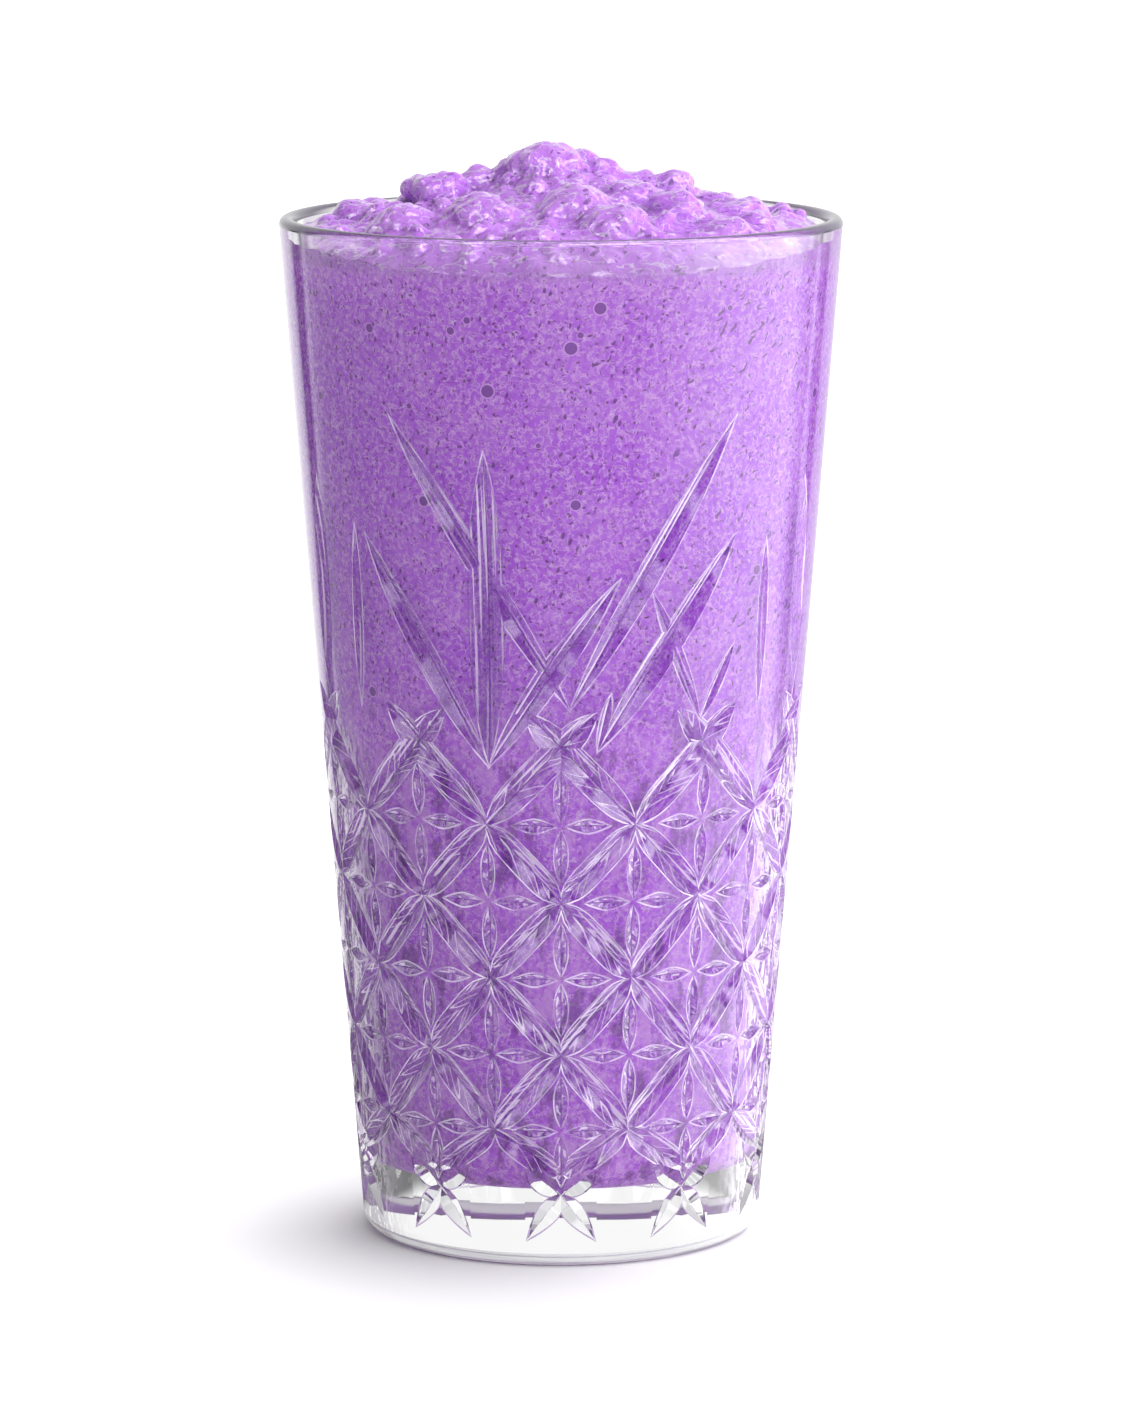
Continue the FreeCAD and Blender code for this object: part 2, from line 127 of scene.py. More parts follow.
class FinishColours(bpy.types.PropertyGroup):
    """Colours of the drink, the glass and the stage, several of which are painted light or shade.
    """
    shake: colour("Milkshake", (0.52, 0.117, 0.86), "Body of the drink")
    # light flecks of the drink; the same colour paints the highlights on the heap's ridges, the
    # painted light from the cuts and each bubble's painted highlight ring
    froth_and_highlight: colour("Froth", (0.78, 0.43, 0.95), "Light flecks and froth")
    # dark specks of the drink; the same colour paints the shade in the heap's crevices, over the
    # heap in air and under the cuts
    pore_and_shade: colour("Pores", (0.17, 0.04, 0.30), "Pores and fruit specks")
    # painted shade: a grey tone that dims the heap where it stands in air
    skin: colour("Skin", (0.23, 0.29, 0.20), "Film of the heap in air")
    # painted shade inside each bubble
    bubble: colour("Bubbles", (0.25, 0.055, 0.44), "Inside of bubbles")
    glass: colour("Glass", (0.985, 0.985, 0.99), "Clear glass")
    shade: colour("Flank streaks", (0.50, 0.38, 0.62), "Dark streaks of cuts")
    # painted shade on one side of each star cut in the foot
    facet_shade: colour("Foot facets", (0.58, 0.58, 0.62), "Facets in the foot")
    gleam: colour("Edges", (0.90, 0.82, 0.97), "Lit edges of the cuts")
    # painted shade: dark tint of the cuts' narrow bottoms and of the line inside each edge
    keel: colour("Keels", (0.32, 0.21, 0.45), "Bottoms of the cuts")
    # painted dark reflection on the lip's turned-away parts, and painted dark lines in the wall and
    # flanks
    dark: colour("Dark rims", (0.05, 0.05, 0.07), "Dark outline of the lip")
    # painted grey shade on the rounded edge of the foot
    heel_shade: colour("Heel", (0.58, 0.58, 0.60), "Rounded edge of the foot")
    floor: colour("Floor", (0.96, 0.96, 0.96), "Floor of the stage")


# leaves of the fans: foot azimuth and height, tip azimuth and height, width in millimetres;
# a height is a share of the band from the lattice's crest up to the plain wall
FAN_LEAVES = {
    "tall upright": (-17.0, -0.06, -16.5, 0.91, 5.8),
    "middle left": (-17.0, -0.06, -48.0, 0.63, 4.0),
    "middle right": (-17.0, -0.06, 13.0, 0.52, 3.6),
    "inner right": (-13.5, 0.03, 2.0, 0.36, 1.9),
    "long left": (2.0, 0.12, -38.5, 1.0, 3.5),
    "long right": (2.0, 0.12, 39.5, 1.0, 3.8),
    "outer right": (8.5, -0.01, 41.5, 0.64, 4.2),
    "short upright": (8.5, -0.01, 11.5, 0.17, 1.6),
    "peak left": (34.0, 0.07, 20.5, 0.48, 2.2),
    "peak right": (34.0, 0.07, 43.0, 0.3, 1.9),
    "slim left": (-53.5, 0.09, -51.5, 0.65, 2.4),
    "slim right": (52.5, 0.09, 51.5, 0.61, 2.4),
    "side left": (-70.0, 0.08, -67.0, 0.78, 5.6),
    "side right": (70.0, 0.08, 67.0, 0.78, 5.6),
}
FAN_COPIES = 2
LATTICE_LEVELS = 5
# how full a cut is between its two ends: kite, lens or bar
KITE_CUT, LENS_CUT, BAR_CUT = 1.5, 2.4, 4.5
# slope of the polished edge over that of the flank, reach of a cutter out of the wall, and
# millimetres between the starts of two cuts on the map of places along the cuts
EDGE_SLOPE = 0.47
CLEARANCE = 0.35 * MM
CUT_SPACING = 37.0
# numbers of the glass's finishes, and those of the strips across each kind of cut
WALL, FLANK, EDGE, KEEL, FACET, LEAF, LIP, HEEL, STAR, FAINT = range(10)
LATTICE_STRIPS, LEAF_STRIPS, STAR_STRIPS = (
    (edge, KEEL, flank, KEEL, KEEL, flank, KEEL, edge, WALL)
    for edge, flank in ((EDGE, FLANK), (FAINT, LEAF), (FAINT, STAR)))
FOOT_STRIPS = (KEEL, *[FACET] * 6, KEEL, WALL)
CUT_MAP = "cuts"
# facets that meet at less than these degrees are shaded as one smooth face
GLASS_CREASE, DRINK_CREASE = 8.0, 40.0

# numbers of the drink's finishes after that of its body
# the ring round each bubble is a painted highlight, and its inside is painted shade
BUBBLE_RING_HIGHLIGHT, BUBBLE_SHADE = 1, 2

# large crests of the heap in millimetres: across, towards the back, rise of its middle, radius
HEAP_CRESTS = [
    (-1.8, -1.0, 10.9, 5.6), (-6.5, 0.0, 11.4, 3.0), (2.5, 1.0, 12.4, 2.8), (6.0, 0.0, 10.8, 2.6),
    (-11.2, -18.0, 5.4, 5.0), (2.4, -17.0, 6.5, 4.8), (-17.7, -3.0, 8.6, 3.8),
    (10.0, -10.5, 7.5, 4.4), (16.5, -14.0, 6.0, 4.0), (26.5, -3.0, 5.0, 3.2),
    (-29.4, -1.0, 3.4, 3.4), (7.6, -24.0, 4.6, 4.8), (-20.5, -1.0, 8.8, 2.6),
    (-12.0, 1.0, 9.9, 2.7), (11.5, 1.0, 9.4, 2.9), (16.5, 0.0, 8.9, 3.0), (21.8, 0.0, 6.3, 2.8),
    (31.5, -1.0, 1.8, 2.4), (-33.0, -2.0, 1.6, 2.2), (-22.0, -15.0, 3.6, 4.4),
    (-4.0, -28.0, 1.8, 4.6), (23.0, -19.0, 2.6, 4.2), (9.0, 12.0, 6.4, 4.8),
    (-8.0, 13.0, 6.0, 5.4), (-20.0, 15.0, 3.4, 4.6), (20.0, 16.0, 3.2, 4.6),
    (0.0, 23.0, 2.6, 5.2), (26.0, 12.0, 2.6, 3.6), (-27.0, 11.0, 2.4, 3.8),
]
# how far the plain mound lies under the heap's lumps, and its skirt under the fill level
MOUND_SINK, MOUND_SKIRT = 1.2 * MM, 6.0 * MM
GOLDEN_TURN = math.pi * (3.0 - math.sqrt(5.0))
# bubbles pressed against the front wall: azimuth, height over the foot and size of each
FRONT_BUBBLES = [
    (8.2, 141.7, 0.95), (2.1, 136.0, 1.0), (-16.0, 129.7, 1.0), (-23.9, 138.2, 0.62),
    (-20.1, 139.8, 0.55), (3.3, 113.4, 0.8), (4.1, 137.9, 0.5), (31.0, 131.0, 0.5),
    (-35.0, 127.0, 0.45), (22.0, 117.5, 0.4), (-5.0, 122.0, 0.4), (38.0, 141.0, 0.45),
]
# bubbles strewn over the sides and back
STREWN_BUBBLES = 70
# the camera: distance and height in metres, degrees that it looks down, focal length and
# width of its frame in millimetres
CAMERA_PLACE, CAMERA_PITCH = (0.0, -0.950, 0.2353), 9.33
CAMERA_LENS, CAMERA_FRAME = 166.26, 36.0


# ---------------------------------------------------------------- modelling helpers

def deselect():
    """Leave nothing selected and nothing in edit mode."""
    if bpy.context.object and bpy.context.object.mode != "OBJECT":
        bpy.ops.object.mode_set(mode="OBJECT")
    bpy.ops.object.select_all(action="DESELECT")


def activate(piece):
    """Make one object the only selected and active one."""
    deselect()
    piece.select_set(True)
    bpy.context.view_layer.objects.active = piece


def name_piece(name):
    """Name the active object and its mesh."""
    piece = bpy.context.object
    piece.name = name
    piece.data.name = name
    return piece


def settle(piece):
    """Put an object's place into its mesh."""
    activate(piece)
    bpy.ops.object.transform_apply(location=True, rotation=True, scale=True)


def select_where(piece, kind, test):
    """Open a piece for editing, with the edges or faces selected whose corners pass a test."""
    activate(piece)
    bpy.ops.object.mode_set(mode="EDIT")
    bpy.ops.mesh.select_mode(type=kind)
    bpy.ops.mesh.select_all(action="DESELECT")
    bpy.ops.object.mode_set(mode="OBJECT")
    mesh = piece.data
    for part in mesh.polygons if kind == "FACE" else mesh.edges:
        part.select = test([mesh.vertices[index].co for index in part.vertices])
    bpy.ops.object.mode_set(mode="EDIT")


def finish_mesh(piece, merge=True):
    """Merge doubled points, unless told not to, and turn every face outwards."""
    activate(piece)
    bpy.ops.object.mode_set(mode="EDIT")
    bpy.ops.mesh.select_all(action="SELECT")
    if merge:
        bpy.ops.mesh.remove_doubles(threshold=0.002 * MM)
    bpy.ops.mesh.normals_make_consistent(inside=False)
    bpy.ops.object.mode_set(mode="OBJECT")


def join(pieces):
    """Join pieces into the first one."""
    deselect()
    for piece in pieces:
        piece.select_set(True)
    bpy.context.view_layer.objects.active = pieces[0]
    bpy.ops.object.join()
    return pieces[0]


def apply_modifier(piece, kind, **settings):
    """Add a modifier, set it up and apply it."""
    activate(piece)
    modifier = piece.modifiers.new(kind.title(), kind)
    for name, value in settings.items():
        setattr(modifier, name, value)
    bpy.ops.object.modifier_apply(modifier=modifier.name)


def combine(piece, tool, operation):
    """Apply a boolean with another object and remove that object."""
    apply_modifier(piece, "BOOLEAN", operation=operation, solver="MANIFOLD", object=tool)
    mesh = tool.data
    bpy.data.objects.remove(tool)
    bpy.data.meshes.remove(mesh)


def round_ring(piece, radius, height, amount, steps):
    """Round the edges of a piece that lie on one level ring."""
    def on_ring(ends):
        return all(abs(end.z - height) < 0.02 * MM
                   and abs(math.hypot(end.x, end.y) - radius) < 0.1 * MM for end in ends)

    select_where(piece, "EDGE", on_ring)
    bpy.ops.mesh.bevel(offset=amount, segments=steps, affect="EDGES")


def add_cone(name, sides, radii, heights):
    """A cone about the upright axis, between two heights."""
    deselect()
    low, high = heights
    bpy.ops.mesh.primitive_cone_add(vertices=sides, radius1=radii[0], radius2=radii[1],
                                    depth=high - low, location=(0, 0, (low + high) / 2))
    cone = name_piece(name)
    settle(cone)
    return cone


def dress(piece, crease, materials, node):
    """Smooth a piece below a crease angle, give it its materials and tie it to its CAD node."""
    finish_mesh(piece)
    bpy.ops.object.shade_smooth_by_angle(angle=math.radians(crease))
    finishes = [0] * len(piece.data.polygons)
    piece.data.polygons.foreach_get("material_index", finishes)
    piece.data.materials.clear()
    for material in materials:
        piece.data.materials.append(material)
    piece.data.polygons.foreach_set("material_index", finishes)
    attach(piece, "root")
    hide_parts(node)


def mesh_object(name, points, edges, faces):
    """Make an object from points, edges and faces."""
    mesh = bpy.data.meshes.new(name)
    mesh.from_pydata(points, edges, faces)
    piece = bpy.data.objects.new(name, mesh)
    bpy.context.scene.collection.objects.link(piece)
    return piece


# ---------------------------------------------------------------- shader helpers

def arithmetic(operation, swapped=False):
    """Make a method that feeds two values to a maths node."""
    def method(value, other):
        pair = (other, value) if swapped else (value, other)
        return value.graph.node("ShaderNodeMath", {"operation": operation}, pair)[0]
    return method


class Value:
    """A shader socket that takes part in Python arithmetic."""

    def __init__(self, graph, socket):
        self.graph = graph
        self.socket = socket

    __add__, __radd__ = arithmetic("ADD"), arithmetic("ADD", swapped=True)
    __sub__, __rsub__ = arithmetic("SUBTRACT"), arithmetic("SUBTRACT", swapped=True)
    __mul__, __rmul__ = arithmetic("MULTIPLY"), arithmetic("MULTIPLY", swapped=True)
    __pow__, angle = arithmetic("POWER"), arithmetic("ARCTAN2")
    at_most, at_least = arithmetic("MINIMUM"), arithmetic("MAXIMUM")

    def size(self):
        """This value without its sign."""
        return self.graph.node("ShaderNodeMath", {"operation": "ABSOLUTE"}, (self,))[0]

    def ramp(self, low, high, start=0.0, end=1.0):
        """Ease from one number to another while this value goes from low to high."""
        settings = {"interpolation_type": "SMOOTHSTEP"}
        return self.graph.node("ShaderNodeMapRange", settings,
                               (self, low, high, start, end))[0]


class Graph:
    """Builds the nodes of a material or of the world."""

    def __init__(self, owner):
        self.owner = owner
        owner.use_nodes = True
        self.tree = owner.node_tree
        self.tree.nodes.clear()

    def node(self, kind, settings=None, inputs=()):
        """Add a node, set it up, feed its sockets and hand back its outputs."""
        made = self.tree.nodes.new(kind)
        for name, value in (settings or {}).items():
            setattr(made, name, value)
        pairs = inputs.items() if isinstance(inputs, dict) else enumerate(inputs)
        for key, value in pairs:
            self.feed(made.inputs[key], value)
        return [Value(self, socket) for socket in made.outputs]

    def feed(self, socket, value):
        """Link a value to a socket or set a constant on it."""
        if isinstance(value, Value):
            self.tree.links.new(value.socket, socket)
        elif socket.type == "RGBA":
            socket.default_value = (*value, 1.0)
        else:
            socket.default_value = value

    def mix(self, factor, first, second):
        """Blend two colours."""
        made = self.tree.nodes.new("ShaderNodeMix")
        made.data_type = "RGBA"
        sockets = {"Factor_Float": factor, "A_Color": first, "B_Color": second}
        for socket in made.inputs:
            if socket.identifier in sockets:
                self.feed(socket, sockets[socket.identifier])
        return next(Value(self, out) for out in made.outputs if out.identifier == "Result_Color")

    def vector(self, operation, *values):
        """Combine vectors."""
        return self.node("ShaderNodeVectorMath", {"operation": operation}, values)[0]

    def read(self, kind, output):
        """One named output of a node that takes no input."""
        return Value(self, self.tree.nodes.new(kind).outputs[output])

    def parts(self, vector):
        """Split a vector into its three numbers."""
        return self.node("ShaderNodeSeparateXYZ", {}, (vector,))

    def object_point(self):
        """Place on the piece, in millimetres."""
        return self.scaled(self.read("ShaderNodeTexCoord", "Object"), 1.0 / MM)

    def pair(self, first, second=0.0):
        """Vector of two numbers."""
        return self.node("ShaderNodeCombineXYZ", {}, (first, second))[0]

    def scaled(self, vector, amount):
        """Stretch a vector by a number."""
        inputs = {"Vector": vector, "Scale": amount}
        return self.node("ShaderNodeVectorMath", {"operation": "SCALE"}, inputs)[0]

    def noise(self, place, size, detail=2.0, roughness=0.5):
        """Soft noise whose lumps are about one size, in millimetres."""
        inputs = {"Vector": place, "Scale": 1.0 / size, "Detail": detail, "Roughness": roughness}
        return self.node("ShaderNodeTexNoise", {}, inputs)[0]

    def cells(self, place, size):
        """Cells of about one size: distance to the middle, and a random colour per cell."""
        inputs = {"Vector": place, "Scale": 1.0 / size}
        return self.node("ShaderNodeTexVoronoi", {}, inputs)

    def surface(self, inputs):
        """A surface with its settings."""
        return self.node("ShaderNodeBsdfPrincipled", {}, inputs)[0]

    def blend(self, share, first, second):
        """Blend two surfaces."""
        return self.node("ShaderNodeMixShader", {}, (share, first, second))[0]

    def output(self, shader, kind="ShaderNodeOutputMaterial"):
        """Show a shader, and hand back the material or world."""
        self.node(kind, {}, {"Surface": shader})
        return self.owner


def new_material(name):
    """Make a material, as a graph to fill."""
    return Graph(bpy.data.materials.new(name))


def glass_shader(graph, tint):
    """Polished glass of one tint."""
    return graph.surface({"Base Color": tint, "Roughness": 0.0, "IOR": 1.5,
                          "Transmission Weight": 1.0})


def clear_glass(colours, cut_height):
    """Polished wall with painted reflections: pale glints and dark lines painted towards its
    outline between the cuts.
    """
    graph = new_material("clear_glass")
    place = graph.object_point()
    cut_zone = 1.0 - graph.parts(place)[2].ramp(cut_height / MM - 6.0, cut_height / MM + 4.0)
    streaks = graph.noise(graph.vector("MULTIPLY", place, (1.4, 1.4, 0.5)), 1.1, 1.0)
    # painted dark lines and pale glints stand in for reflections near the outline
    outline = thrown_back(graph).ramp(0.05, 0.25) * cut_zone
    dark = outline * line_along(streaks, 0.43, 0.04).at_least(line_along(streaks, 0.56, 0.03))
    gleam = outline * streaks.ramp(0.45, 0.49) * (1.0 - dark)
    clear = glass_shader(graph, graph.mix(dark * 0.75, colours.glass, colours.dark))
    return graph.output(graph.blend(gleam.at_most(0.8), clear, pale_gleam(graph, colours)))


def round_glass(colours, name, tone, start, share):
    """Rounded lip or foot edge, whose turned-away parts show painted dark reflection on the lip and
    painted grey shade on the foot's edge.
    """
    graph = new_material(name)
    facing = graph.node("ShaderNodeLayerWeight", {}, {"Blend": 0.5})[1]
    # the painted tone blended in where the rounding turns away
    rim = graph.surface({"Base Color": tone, "Roughness": 0.15})
    clear = glass_shader(graph, colours.glass)
    return graph.output(graph.blend(facing.ramp(start, start + 0.25) * share, clear, rim))


def pale_gleam(graph, colours):
    """Light that the cut glass throws back, painted as a pale matt surface: a painted reflection.
    """
    return graph.surface({"Base Color": colours.gleam, "Roughness": 0.2})


def thrown_back(graph):
    """Share of light that glass throws back, growing towards its outline."""
    return graph.node("ShaderNodeLayerWeight", {}, {"Blend": 0.3})[1] ** 2.0


def line_along(value, level, width):
    """Thin line where a value passes a level."""
    off = (value - level) * (1.0 / width)
    return 1.0 - (off * off).ramp(0.2, 1.0)


def cut_place(graph):
    """Millimetres along a cut, and across it from its keel."""
    return graph.parts(graph.node("ShaderNodeUVMap", {"uv_map": CUT_MAP})[0])[:2]


def flank_glass(colours, name, paces, up_facing_shade, flank_shade):
    """Flanks of the cuts, with painted light and shade: the bent streaks of light that they gather
    and lose.

    The paces are how fast the arcs change along a cut, how far they lean, and how fast the
    lines change along it. up_facing_shade is painted shade on flanks that look up, and
    flank_shade is painted shade on all of them.
    """
    graph = new_material(name)
    along, across = cut_place(graph)
    arc_pace, slant, line_pace = paces
    upward = graph.parts(graph.read("ShaderNodeNewGeometry", "True Normal"))[2]
    faces_up = upward.ramp(-0.16, 0.06)
    lines = graph.noise(graph.pair(along * line_pace, across * 2.4), 1.0, 0.0)
    dark = 1.0 - lines.ramp(0.36, 0.44)
    light = lines.ramp(0.58, 0.64) * (1.0 - faces_up * 0.7)
    if arc_pace:
        bend = (along - across.size() * slant) * arc_pace
        arcs = graph.noise(graph.pair(bend, across * 0.2), 1.0, 0.0)
        dark = dark.at_least(line_along(arcs, 0.46, 0.03)).at_least(arcs.ramp(0.55, 0.6) * 0.55)
        light = light.at_least(line_along(arcs, 0.52, 0.02))
    dark = (dark * 0.7 + faces_up * up_facing_shade + flank_shade).at_most(1.0)
    back = thrown_back(graph)
    # painted dark streaks where the flank turns away, a painted dark reflection
    grazing_dark_hatch = graph.noise(graph.pair((along + across) * 1.2), 1.0, 0.0).ramp(0.48, 0.54)
    grazing_dark_hatch = grazing_dark_hatch * back.ramp(0.08, 0.3)
    tint = graph.mix(grazing_dark_hatch * 0.8, graph.mix(dark, colours.glass, colours.shade), colours.dark)
    gleam = (light * (0.45 + back * 2.0) + back * 0.5) * (1.0 - grazing_dark_hatch * 0.8)
    return graph.output(graph.blend(gleam.at_most(0.9), glass_shader(graph, tint),
                                    pale_gleam(graph, colours)))


def edge_glass(colours, name, least, most):
    """Fire-polished edges of the cuts, with a painted highlight in patches that grows towards the
    outline.
    """
    graph = new_material(name)
    gleam = graph.noise(graph.object_point(), 4.0, 1.0).ramp(0.35, 0.65, least, most)
    gleam = (gleam + thrown_back(graph) * 0.5).at_most(0.9)
    clear = glass_shader(graph, colours.glass)
    return graph.output(graph.blend(gleam, clear, pale_gleam(graph, colours)))


def facet_glass(colours):
    """Facets of the stars in the clear foot, with painted grey shade on one side of each."""
    graph = new_material("clear_glass_facet")
    across = cut_place(graph)[1]
    tint = graph.mix(across.ramp(-0.03, 0.03), colours.glass, colours.facet_shade)
    return graph.output(glass_shader(graph, tint))


def keel_glass(colours):
    """Narrow bottoms of the cuts, painted dark as shade."""
    graph = new_material("glass_keel_painted_shade")
    return graph.output(glass_shader(graph, colours.keel))


def pore_layer(graph, place, size, reach, stretch, shift):
    """Pores of one size, drawn out along one way and bent a little."""
    drawn = graph.vector("MULTIPLY", graph.vector("ADD", place, shift), stretch)
    drift = graph.noise(drawn, size * 1.2, 0.0)
    bent = graph.vector("ADD", drawn, graph.scaled(drift, size * 1.6))
    distance, random = graph.cells(bent, size)[:2]
    radius = reach * (0.35 + 0.8 * graph.parts(random)[1])
    return (radius - distance).ramp(-0.03, 0.07)


def strokes(graph, place, size, width, share):
    """Short curly strokes along the level lines of a noise."""
    level = graph.noise(place, size, 1.0) - 0.5
    near = 1.0 - (level * level).ramp(0.0, width * width)
    return near * graph.noise(place, size * 0.8, 0.0).ramp(1.0 - share, 1.04 - share)


def plain_milk(name, tone):
    """Smooth flat tone for one part of a bubble: the painted highlight of its ring, and the painted
    shade inside it.
    """
    graph = new_material(name)
    return graph.output(graph.surface({"Base Color": tone, "Roughness": 0.4}))


def whipped_milk(colours, fill_level):
    """Thick, moist shake full of fine pores, glossy where it meets the air, with painted shade in
    its crevices and over the heap, painted highlights on its ridges and curly strokes, and painted
    light and shade from the cuts.
    """
    graph = new_material("purple_shake")
    place = graph.object_point()
    height = graph.parts(place)[2]
    shake, froth_and_highlight, pore_and_shade, gleam = colours.shake, colours.froth_and_highlight, colours.pore_and_shade, colours.gleam
    # lighter band near the fill level: foam, with painted light where the top of the drink meets
    # the light
    froth_and_light_band = height.ramp(fill_level / MM - 4.0, fill_level / MM + 0.5)
    broad = graph.noise(place, 11.0, 2.0).ramp(0.3, 0.7)
    fine = graph.noise(place, 0.8, 2.0, 0.6).ramp(0.35, 0.7)
    open_air = height.ramp(fill_level / MM - 1.5, fill_level / MM + 0.5)
    calm = 1.0 - open_air * 0.65
    # the open_air term here is painted shade that dims the heap in air
    mottle = broad * 0.22 + fine * calm * 0.38 + froth_and_light_band * 0.15 - open_air * 0.1
    base = graph.mix(mottle.at_most(1.0).at_least(0.0), shake, froth_and_highlight)
    marks = (((0.0, 0.0, 0.0), 1.0, 0.05, 0.6, 1.0 - open_air, froth_and_highlight),
             ((3.0, 25.0, 7.0), 1.2, 0.03, 0.5, 0.4 - open_air * 0.2, gleam),
             ((31.0, 5.0, 17.0), 1.0, 0.035, 0.45, calm * 0.35, pore_and_shade))
    for shift, size, width, share, strength, tone in marks:
        lines = strokes(graph, graph.vector("ADD", place, shift), size, width, share)
        base = graph.mix(lines * strength, base, tone)
    pores = pore_layer(graph, place, 0.95, 0.25, (1.0, 1.0, 0.6), (0.0, 0.0, 0.0))
    pores = pores.at_least(pore_layer(graph, place, 0.95, 0.2, (0.6, 0.6, 1.0), (7.3, 2.1, 5.7)))
    pores = pores * (1.0 - open_air)
    pores = pores.at_least(pore_layer(graph, place, 1.5, 0.16, (1.0, 1.0, 1.0), (3.9, 8.4, 1.2)))
    specks = pore_layer(graph, place, 1.3, 0.28, (1.0, 1.0, 1.0), (9.1, 4.4, 6.2))
    pores = pores.at_least(specks * open_air)
    cut_zone = 1.0 - height.ramp(66.0, 92.0)
    pores = pores * (1.0 - cut_zone * 0.6)
    base = graph.mix(pores * 0.85, base, pore_and_shade)
    # painted light and shade that the cuts throw on the drink, fading out above them
    stretched = graph.vector("MULTIPLY", place, (1.0, 1.0, 0.45))
    cut_light_and_shade = graph.noise(stretched, 3.0, 2.0, 0.6)
    base = graph.mix(cut_light_and_shade.ramp(0.53, 0.66) * cut_zone * 0.6, base, pore_and_shade)
    base = graph.mix((1.0 - cut_light_and_shade.ramp(0.36, 0.47)) * cut_zone * 0.6, base, froth_and_highlight)
    # pale curly strokes on the heap in air, drawn in the highlight colour as painted highlights
    curls_and_highlights = strokes(graph, graph.vector("MULTIPLY", place, (0.8, 0.8, 1.4)), 1.9, 0.03, 0.6)
    base = graph.mix(curls_and_highlights * open_air * 0.5, base, gleam)
    bulge = graph.read("ShaderNodeNewGeometry", "Pointiness")
    # painted shade in the heap's crevices, with a little painted shade over all of the heap in air
    crevice_shade = 1.0 - bulge.ramp(0.43, 0.498)
    base = graph.mix((0.07 + crevice_shade * 0.75) * open_air, base, pore_and_shade)
    # painted highlight on the heap's ridges
    base = graph.mix(bulge.ramp(0.51, 0.56) * open_air * 0.35, base, froth_and_highlight)
    # painted shade: a grey tone dims the heap in air
    base = graph.mix(open_air * 0.14, base, colours.skin)
    relief = fine * 0.3 + graph.noise(place, 2.6, 1.0) * 0.4 - pores * 0.6 + curls_and_highlights * open_air * 0.3
    bump = graph.node("ShaderNodeBump", {}, {"Strength": 0.4, "Distance": 0.5 * MM,
                                             "Height": relief})[0]
    return graph.output(graph.surface({
        "Base Color": base, "Roughness": 0.42, "IOR": 1.2, "Normal": bump,
        "Coat Weight": open_air, "Coat Roughness": 0.09, "Coat IOR": 1.5,
        "Subsurface Weight": 0.12, "Subsurface Radius": (1.0, 0.6, 1.1),
        "Subsurface Scale": 1.0 * MM}))


# ---------------------------------------------------------------- tumbler

def outer_radius(size, height):
    """Radius of the straight outer wall at a height."""
    return size.foot_radius + (size.rim_radius - size.foot_radius) * height / size.height


def inner_radius(size, height):
    """Radius of the straight inner wall at a height."""
    bowl = outer_radius(size, size.floor) - size.floor_wall
    rim = size.rim_radius - size.rim_wall
    return bowl + (rim - bowl) * (height - size.floor) / (size.height - size.floor)


def wall_frame(size, azimuth, height):
    """Point on the outer wall, with the directions out of it, up it and round it."""
    turn = math.radians(azimuth)
    taper = math.atan2(size.rim_radius - size.foot_radius, size.height)
    outward = Vector((math.sin(turn), -math.cos(turn), 0.0))
    around = Vector((math.cos(turn), math.sin(turn), 0.0))
    upward = Vector((0.0, 0.0, 1.0))
    point = outward * outer_radius(size, height) + upward * height
    normal = outward * math.cos(taper) - upward * math.sin(taper)
    slope = outward * math.sin(taper) + upward * math.cos(taper)
    return point, normal, slope, around


def cut_section(size, start, end, share, depth, fullness):
    """Corners across a cut, from one polished edge over the flanks and keel to the other."""
    azimuth = start[0] + (end[0] - start[0]) * share
    height = start[1] + (end[1] - start[1]) * share
    point, normal, slope, around = wall_frame(size, azimuth, height)
    run_around = math.radians(end[0] - start[0]) * outer_radius(size, height)
    run_up = (end[1] - start[1]) / slope.z
    side = (around * run_up - slope * run_around).normalized()
    flank = math.tan(math.radians(size.flank))
    edge = EDGE_SLOPE * flank
    keel = depth * (1.0 - abs(2.0 * share - 1.0) ** fullness)
    edge_keel = EDGE_SLOPE * keel + edge * size.polish
    shoulder = max((keel - edge_keel) / (flank - edge), 0.004 * MM)
    low = edge_keel - edge * shoulder
    inner = shoulder - min(size.shade_width, 0.3 * shoulder)
    bottom = min(size.keel_width, 0.5 * inner)
    low_inner, low_bottom = (low + flank * (shoulder - across) for across in (inner, bottom))
    reach = (CLEARANCE + edge_keel) / edge
    half = [(reach, CLEARANCE), (shoulder, -low), (inner, -low_inner), (bottom, -low_bottom)]
    corners = [(-across, out) for across, out in half]
    corners += [(0.0, -low_bottom - 0.5 * flank * bottom)] + half[::-1]
    along = share * math.hypot(run_around, run_up) / MM
    return [(point + side * across + normal * out, (along, across / MM))
            for across, out in corners]


